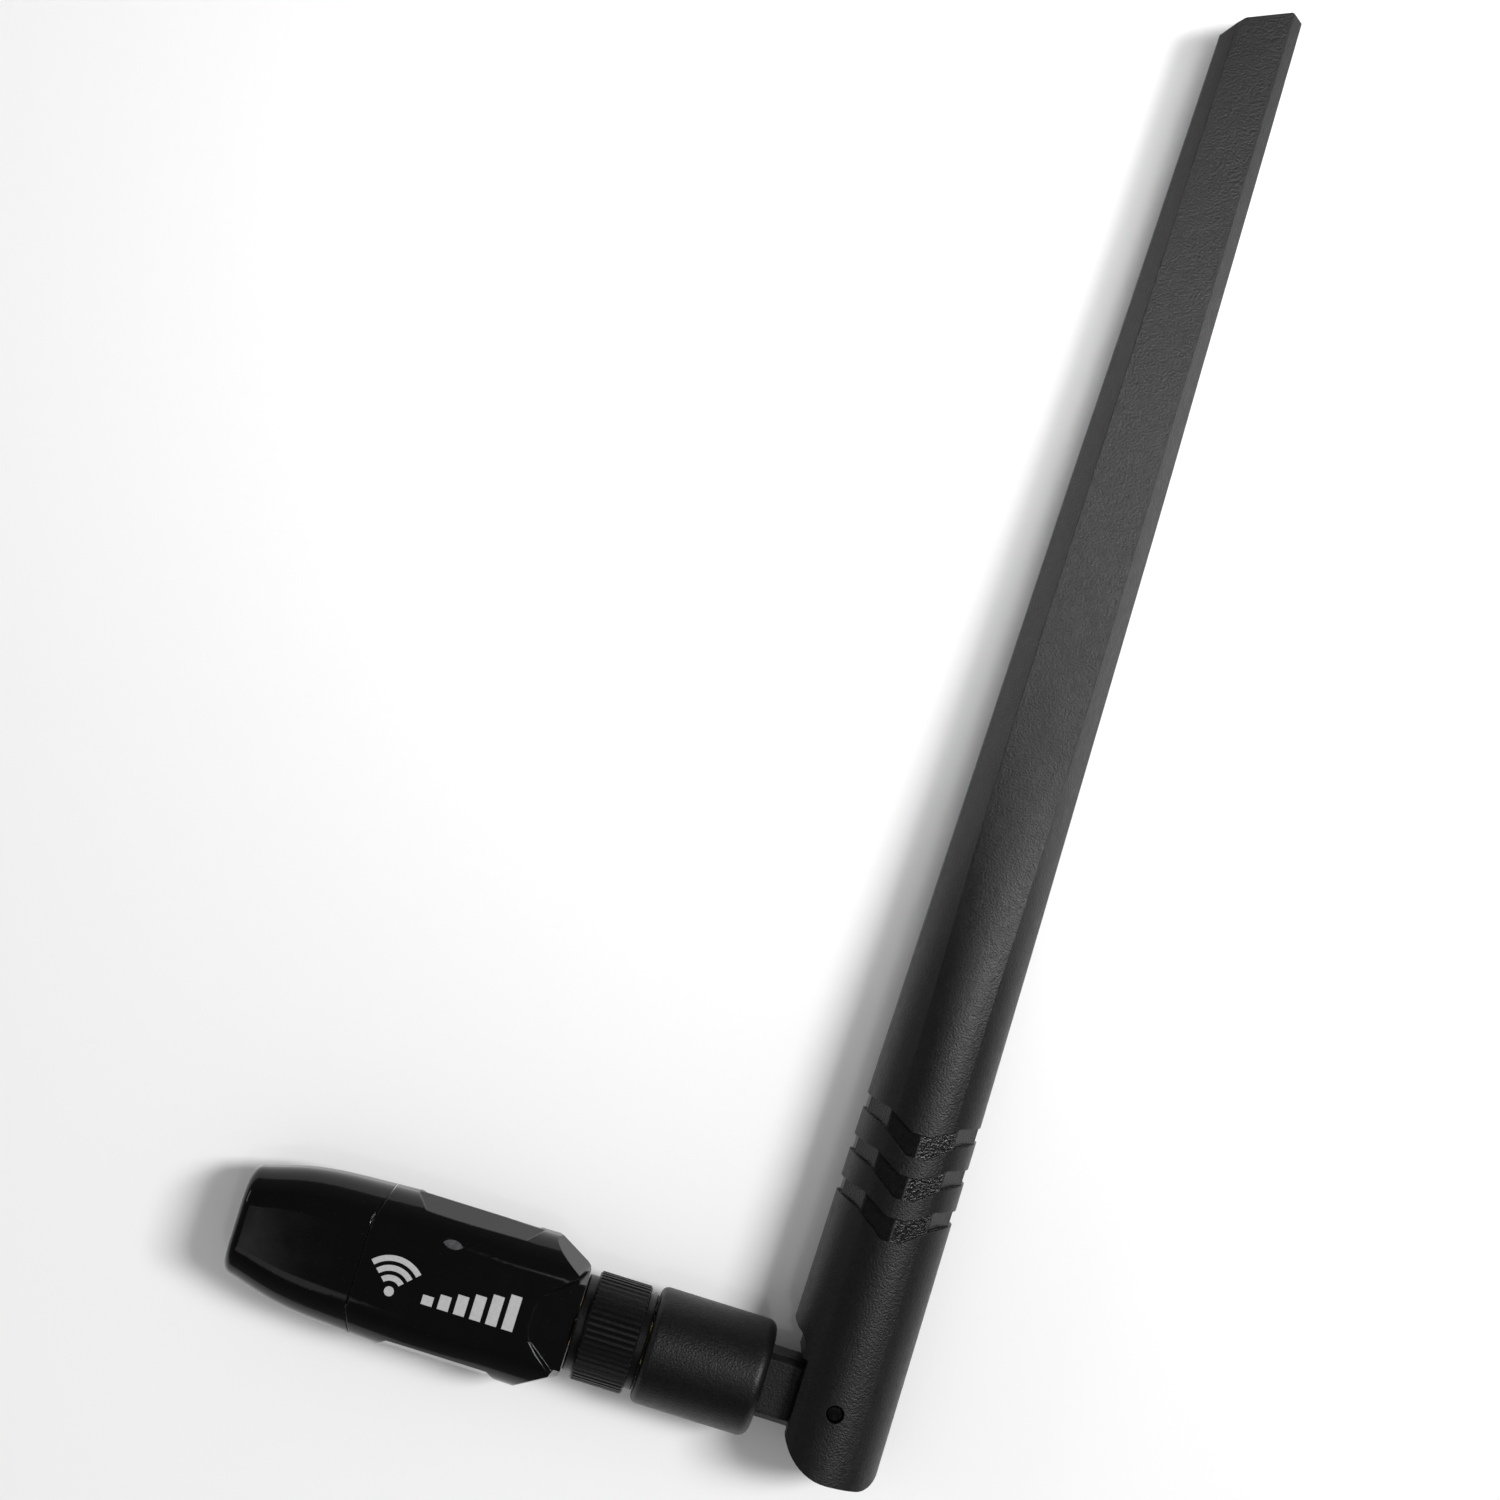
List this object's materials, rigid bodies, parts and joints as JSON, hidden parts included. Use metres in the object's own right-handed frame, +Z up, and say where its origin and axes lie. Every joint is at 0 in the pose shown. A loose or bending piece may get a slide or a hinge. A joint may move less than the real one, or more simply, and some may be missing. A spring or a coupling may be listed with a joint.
{
  "type": "usb wifi adapter",
  "caption": "Black USB WiFi stick with pull-off cap, knurled coupling nut and a long tapering antenna on a swivel hinge.",
  "frame": {"origin": "on the USB plug's axis, in the plane of the cap's open end where the plug leaves the body", "axes": "+X along the stick away from the plug, towards the swivel; +Y along the antenna in its folded-up rest pose; +Z up, away from the flat underside"},
  "size_m": [0.0844, 0.1896, 0.0156],
  "materials": {
    "gloss_black": "high gloss moulded black",
    "light_window": "smoked clear plastic",
    "plug_steel": "nickel-plated sheet steel",
    "white_plastic": "moulded white",
    "gold_contact": "gold flash",
    "board_green": "solder mask over glass laminate",
    "tinned_shield": "tinned sheet",
    "chip_black": "matte moulding compound",
    "ceramic_tan": "fired ceramic",
    "gold_brass": "plated turned brass",
    "dielectric_white": "waxy white",
    "black_rubber": "soft black",
    "spring_steel": "plain spring steel",
    "nut_black": "semi-gloss black, straight knurl",
    "satin_black": "fine grained satin black",
    "bush_plastic": "natural acetal",
    "cable_jacket": "translucent brown jacket",
    "pin_dark": "dark glossy pin",
    "copper_foil": "copper foil",
    "print_grey": "light grey ink printed on the case"
  },
  "bodies": {
    "stick": {"top_shell": "gloss_black", "bottom_shell": "gloss_black", "light_pipe": "light_window", "usb_shell": "plug_steel", "usb_insulator": "white_plastic", "usb_contacts": "gold_contact", "circuit_board": "board_green", "shield_can": "tinned_shield", "wifi_chip": "chip_black", "crystal": "tinned_shield", "voltage_regulator": "chip_black", "power_inductor": "chip_black", "passives": "ceramic_tan", "status_led": "white_plastic", "antenna_jack": "gold_brass", "jack_insulator": "dielectric_white", "jack_contact": "gold_contact"},
    "cap": {"cap": "gloss_black"},
    "connector": {"ferrule": "gold_brass", "ferrule_insulator": "dielectric_white", "ferrule_contact": "gold_contact", "jack_gasket": "black_rubber", "snap_ring": "spring_steel", "wave_washer": "spring_steel", "swivel_clip": "spring_steel"},
    "coupling_nut": {"nut_grip": "nut_black", "nut_insert": "gold_brass"},
    "swivel": {"swivel_sleeve": "satin_black", "swivel_bush": "bush_plastic", "hinge_knuckle": "satin_black", "coax_lower": "cable_jacket"},
    "antenna": {"antenna_front_shell": "satin_black", "antenna_back_shell": "satin_black", "pivot_pins": "pin_dark", "coax_upper": "cable_jacket", "choke_sleeve": "gold_brass", "antenna_board": "board_green", "dipole_copper": "copper_foil"}
  },
  "joints": [
    {"name": "cap_slide", "type": "slide", "parent": "stick", "child": "cap", "axis": [-1, 0, 0], "range_m": [0, 0.03]},
    {"name": "connector_draw", "type": "slide", "parent": "stick", "child": "connector", "axis": [1, 0, 0], "range_m": [0, 0.0065]},
    {"name": "nut_turn", "type": "hinge", "parent": "connector", "child": "coupling_nut", "pos_m": [0.0325, 0, 0], "axis": [-1, 0, 0], "range_deg": [0, 3318]},
    {"name": "swivel_turn", "type": "hinge", "parent": "connector", "child": "swivel", "pos_m": [0.0445, 0, 0], "axis": [1, 0, 0], "range_deg": [-180, 180]},
    {"name": "antenna_fold", "type": "hinge", "parent": "swivel", "child": "antenna", "pos_m": [0.06135, 0, 0], "axis": [0, 0, 1], "range_deg": [-90, 0]}
  ],
  "couplings": [
    {"joint": "nut_turn", "follows": "connector_draw", "rad_per_m": 8905.3}
  ]
}
